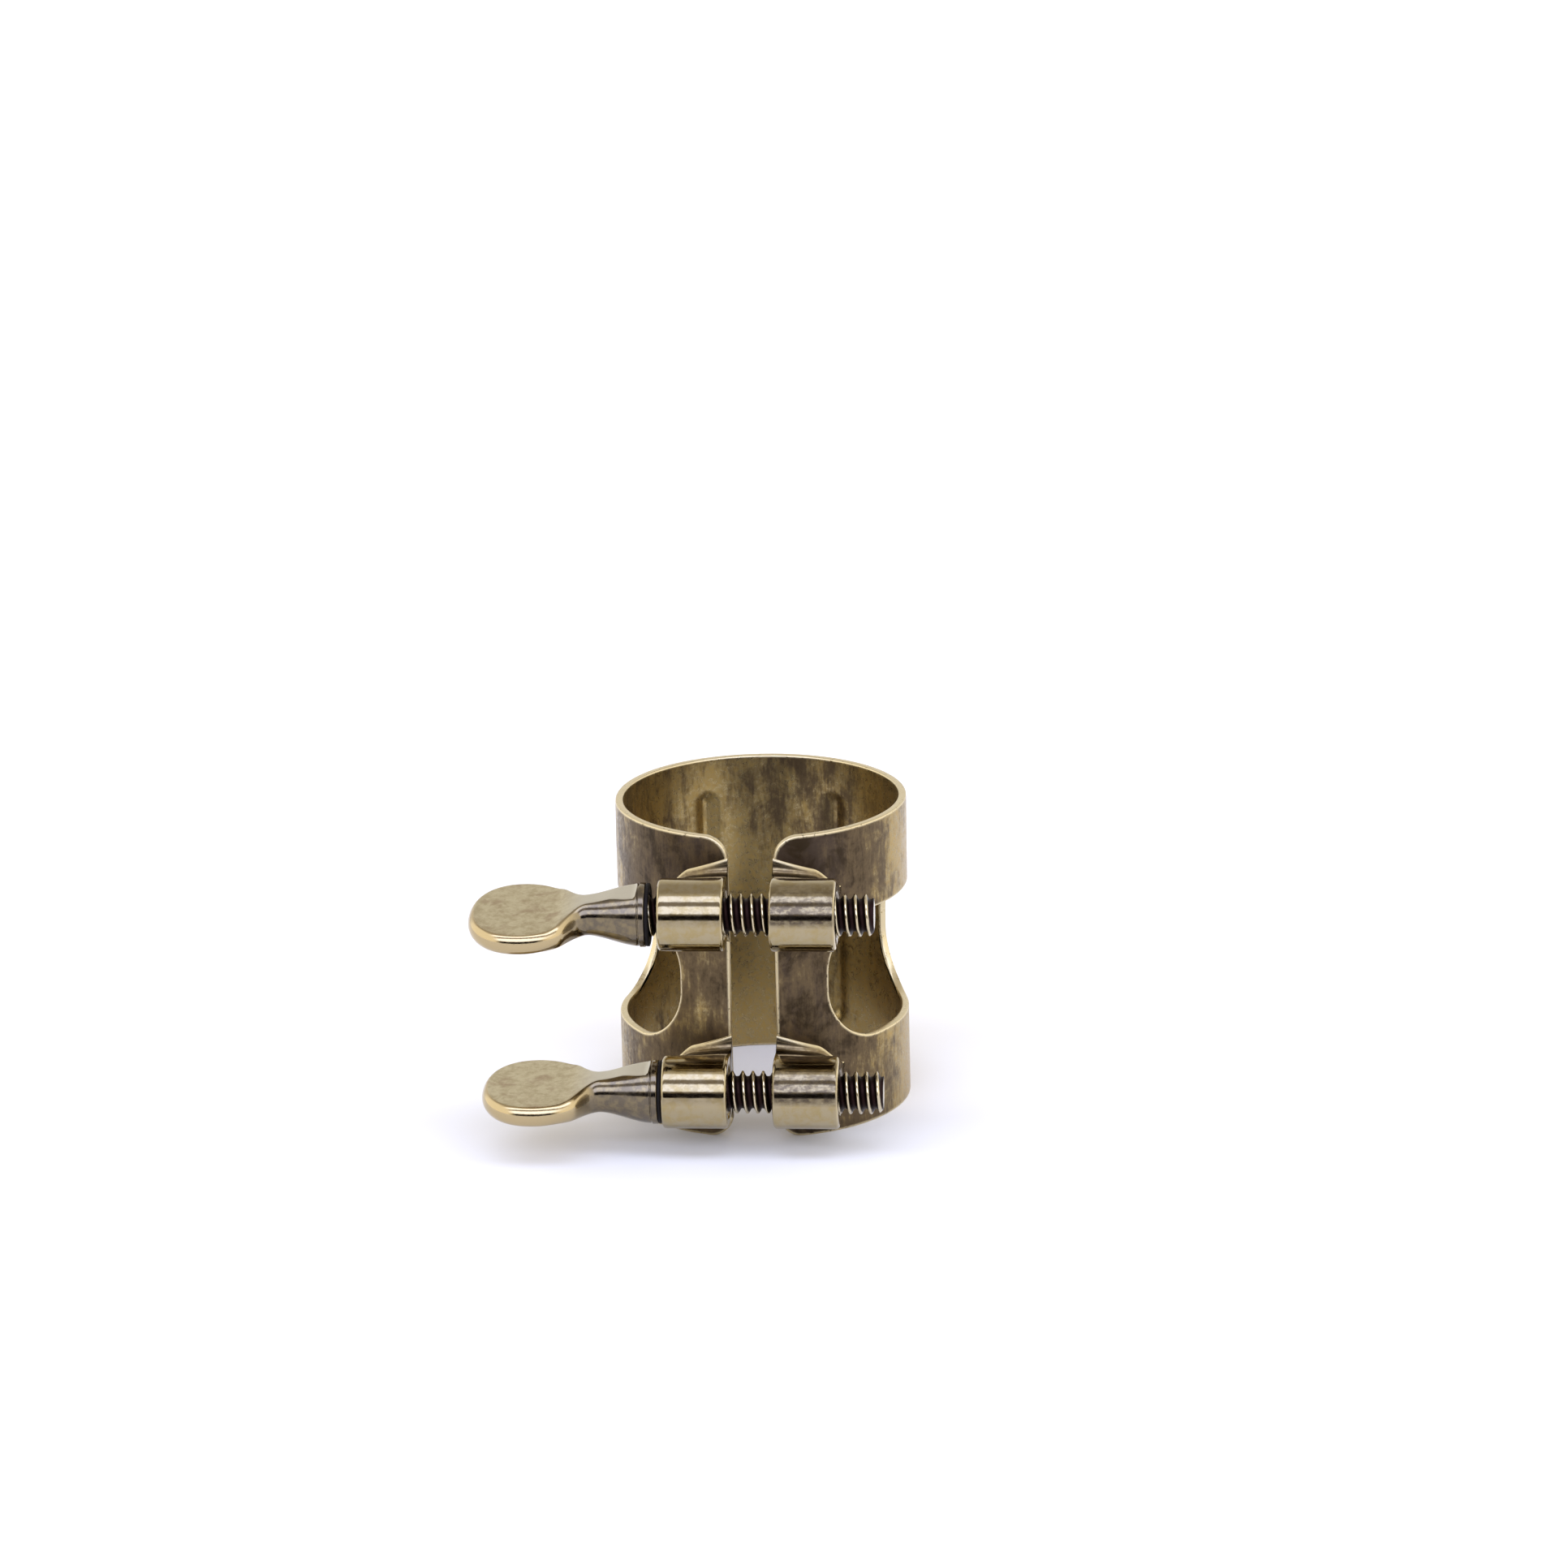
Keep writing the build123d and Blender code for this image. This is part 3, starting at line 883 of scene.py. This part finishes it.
def build_studio():
    """Light from all round, drawn as soft strips that run along the screws.

    A direction's climb is its angle above the floor, measured from the front over the top, so
    that the barrels reflect the strips as lines along their length.
    """
    world = bpy.data.worlds.new("studio")
    bpy.context.scene.world = world
    world.use_nodes = True
    tree = world.node_tree

    def add(kind, **inputs):
        node = tree.nodes.new(kind)
        for name, value in inputs.items():
            node.inputs[name].default_value = value
        return node

    split = add("ShaderNodeSeparateXYZ")
    tree.links.new(add("ShaderNodeTexCoord").outputs["Generated"], split.inputs[0])
    forward, climb = add("ShaderNodeMath"), add("ShaderNodeMath")
    forward.operation, climb.operation = "MULTIPLY", "ARCTAN2"
    forward.inputs[1].default_value = -1.0
    tree.links.new(split.outputs["Y"], forward.inputs[0])
    tree.links.new(split.outputs["Z"], climb.inputs[0])
    tree.links.new(forward.outputs[0], climb.inputs[1])
    turn = add("ShaderNodeMapRange")
    turn.inputs["From Max"].default_value = math.pi
    tree.links.new(climb.outputs[0], turn.inputs["Value"])

    ramp = add("ShaderNodeValToRGB")
    tree.links.new(turn.outputs["Result"], ramp.inputs["Fac"])
    # Each stop is a climb in degrees and a colour.
    stops = (
        (0, 0.004, 0.003, 0.003), (14, 0.004, 0.003, 0.003), (16, 0.08, 0.07, 0.065), (19, 0.12, 0.11, 0.10),
        (21, 0.64, 0.70, 0.94), (42, 0.66, 0.72, 0.96), (45, 0.12, 0.11, 0.11), (57, 0.12, 0.11, 0.11),
        (60, 0.66, 0.72, 0.96), (75, 0.64, 0.70, 0.94), (79, 0.28, 0.27, 0.26), (90, 0.155, 0.145, 0.135),
        (124, 0.145, 0.135, 0.125), (150, 0.235, 0.23, 0.22), (180, 0.235, 0.23, 0.22),
    )
    elements = ramp.color_ramp.elements
    for degrees, *color in stops[1:-1]:
        elements.new(degrees / 180).color = (*color, 1.0)
    elements[0].color = (*stops[0][1:], 1.0)
    elements[len(elements) - 1].color = (*stops[-1][1:], 1.0)

    # Towards both sides the strips give way to plain bright walls.
    sideways = add("ShaderNodeMath")
    sideways.operation = "ABSOLUTE"
    tree.links.new(split.outputs["X"], sideways.inputs[0])
    share = add("ShaderNodeMapRange")
    share.interpolation_type = "SMOOTHSTEP"
    share.inputs["From Min"].default_value = 0.55
    share.inputs["From Max"].default_value = 0.8
    tree.links.new(sideways.outputs[0], share.inputs["Value"])
    mix = add("ShaderNodeMix")
    mix.data_type = "RGBA"
    factor, first, second = [socket for socket in mix.inputs if socket.enabled]
    tree.links.new(share.outputs["Result"], factor)
    tree.links.new(ramp.outputs["Color"], first)
    second.default_value = (0.38, 0.37, 0.35, 1.0)
    mixed = [socket for socket in mix.outputs if socket.enabled][0]
    background = tree.nodes["Background"]
    tree.links.new(mixed, background.inputs["Color"])
    background.inputs["Strength"].default_value = 4.4


def build_camera():
    """The camera of the reference view: slightly above, a little to the right, rolled by about a degree."""
    azimuth, elevation, roll = math.radians(4.575), math.radians(18.2), math.radians(1.206)
    distance, millimetres_across = 520.0, 111.7667
    aim_right, aim_up = 1.70, 11.35
    target = Vector((0, 0, 11.0))
    back = Vector((
        math.sin(azimuth) * math.cos(elevation),
        -math.cos(azimuth) * math.cos(elevation),
        math.sin(elevation),
    ))
    right = Vector((math.cos(azimuth), math.sin(azimuth), 0))
    up = back.cross(right)
    place = target + back * distance
    aim = target + right * aim_right + up * aim_up
    data = bpy.data.cameras.new("camera")
    data.sensor_width = 36.0
    data.lens = data.sensor_width * distance / millimetres_across
    data.clip_start, data.clip_end = 0.01, 20
    camera = bpy.data.objects.new("camera", data)
    look = (aim - place).normalized()
    rotation = look.to_track_quat("-Z", "Y").to_matrix() @ Matrix.Rotation(-roll, 3, "Z")
    camera.matrix_world = Matrix.LocRotScale(place * MM, rotation, None)
    bpy.context.scene.collection.objects.link(camera)
    bpy.context.scene.camera = camera


# ---- build -----------------------------------------------------------------------------
build_band(band_material())
post_golds = {
    "left": post_material("polished_post_gold", 0.35),
    "right": post_material("dulled_post_gold", 0.95),
}
rod_gold, thumb_gold, black = rod_material(), thumb_material(), washer_material()
for level in LEVELS:
    for side_name in SIDES:
        build_post(level, side_name, post_golds[side_name])
    build_rod(level, rod_gold)
    build_washer(level, black)
    build_thumb_piece(level, thumb_gold)
build_floor()
build_studio()
build_camera()
bpy.context.scene.view_settings.view_transform = "Standard"
